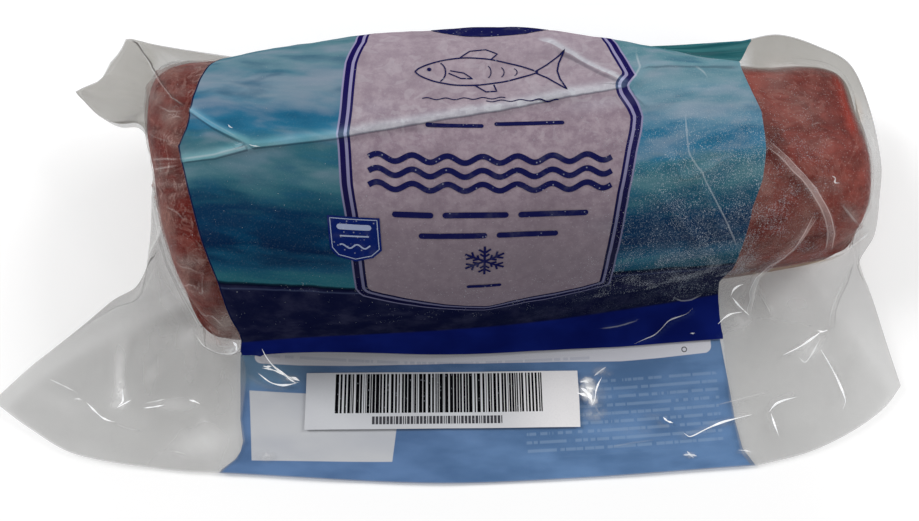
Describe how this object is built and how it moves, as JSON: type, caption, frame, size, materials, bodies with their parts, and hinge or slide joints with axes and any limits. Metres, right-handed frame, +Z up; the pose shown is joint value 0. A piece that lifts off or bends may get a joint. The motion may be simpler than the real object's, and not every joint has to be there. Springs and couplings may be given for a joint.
{
  "type": "vacuum-packed frozen tuna loin",
  "caption": "Frozen tuna loin sealed in a clear vacuum bag with a blue printed band, a loose front flap and a paper label, lying on its back.",
  "frame": {"origin": "middle of the box's underside, on the surface that the pack lies on", "axes": "+X along the loin towards its narrow end, +Y towards the bag's top seal, +Z up out of the printed face"},
  "size_m": [0.4104, 0.2039, 0.1046],
  "materials": {
    "film": "clear glossy film with a blue printed band, tight over frosted red fish",
    "label": "matt white paper label with plain black bars"
  },
  "bodies": {
    "root": {"bag": "film", "paper_label": "label"}
  },
  "joints": []
}
